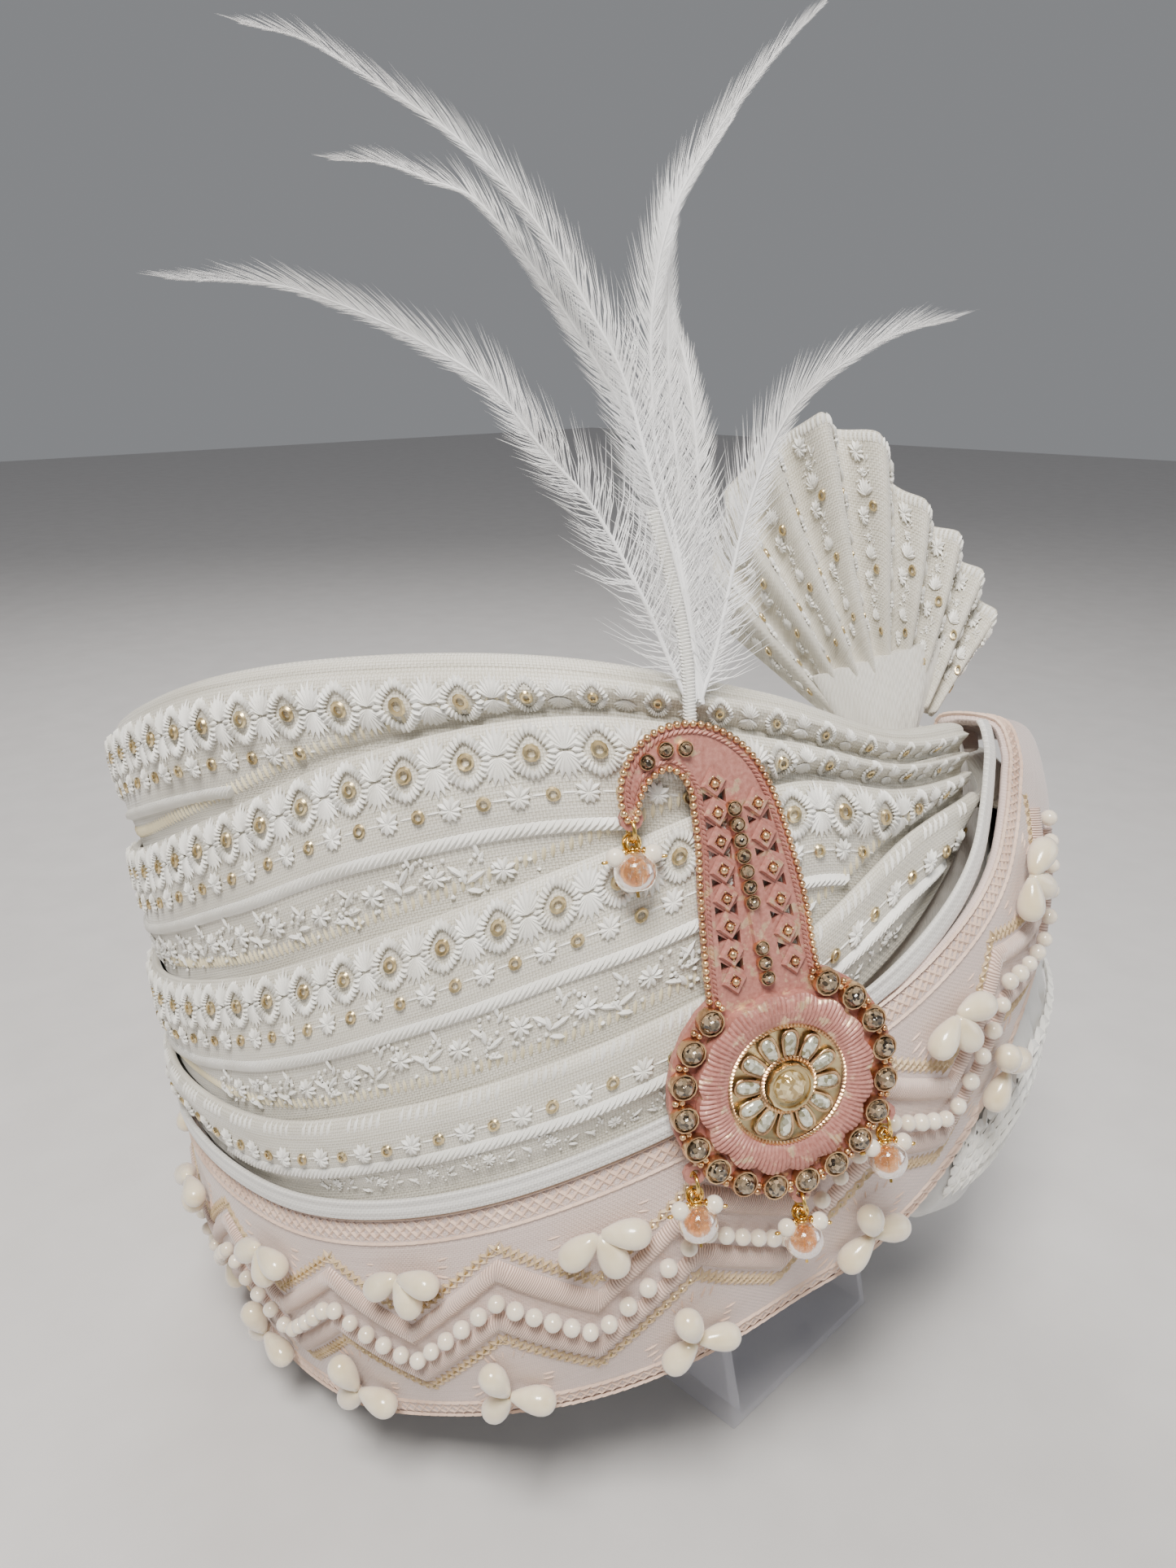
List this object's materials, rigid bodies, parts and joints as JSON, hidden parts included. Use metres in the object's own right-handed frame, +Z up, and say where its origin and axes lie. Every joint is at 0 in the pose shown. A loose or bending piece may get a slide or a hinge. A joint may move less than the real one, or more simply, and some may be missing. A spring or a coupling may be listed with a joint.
{
  "type": "tied turban with plume and brooch on a clear display stand",
  "caption": "Ceremonial ivory silk turban with wound laps, beaded blush border, pleated fan, feather plume and jewelled brooch, tipped back on a clear box stand.",
  "frame": {"origin": "middle of the display stand's base, on the surface it stands on", "axes": "+Z up; the turban's front, with the fan and the sash, faces -Y; the plume and the brooch are on the -X side of the front, the wearer's right"},
  "size_m": [0.2397, 0.2377, 0.2991],
  "materials": {
    "clear_acrylic": "clear, polished edges",
    "ivory_silk": "silk weave with pale thread embroidery",
    "white_ribbon": "soft sheen",
    "blush_border": "embroidered, matte",
    "pearl": "pearly gloss",
    "white_feather": "feather",
    "rose_enamel": "enamel with gold edges",
    "smoky_stone": "faceted, smoky",
    "clear_stone": "faceted, clear",
    "gold_wire": "polished",
    "amber_glass": "crackled, glossy"
  },
  "bodies": {
    "root": {"border_band": "blush_border", "brooch_frame": "rose_enamel", "centre_stone": "clear_stone", "crown_shell": "ivory_silk", "display_stand": "clear_acrylic", "drop_1_bead": "amber_glass", "drop_1_ring": "gold_wire", "drop_2_bead": "amber_glass", "drop_2_ring": "gold_wire", "drop_3_bead": "amber_glass", "drop_3_ring": "gold_wire", "drop_4_bead": "amber_glass", "drop_4_ring": "gold_wire", "pearl_drops_01": "pearl", "pearl_drops_02": "pearl", "pearl_drops_03": "pearl", "pearl_drops_04": "pearl", "pearl_drops_05": "pearl", "pearl_drops_06": "pearl", "pearl_drops_07": "pearl", "pearl_drops_08": "pearl", "pearl_drops_09": "pearl", "pearl_drops_10": "pearl", "pearl_string": "pearl", "petal_stones": "clear_stone", "plume": "white_feather", "ribbon_piping": "white_ribbon", "side_roll": "ivory_silk", "stone_border": "smoky_stone", "turra_fan": "ivory_silk", "wrap_1": "ivory_silk", "wrap_2": "ivory_silk", "wrap_3": "ivory_silk", "wrap_4": "ivory_silk"}
  },
  "joints": []
}
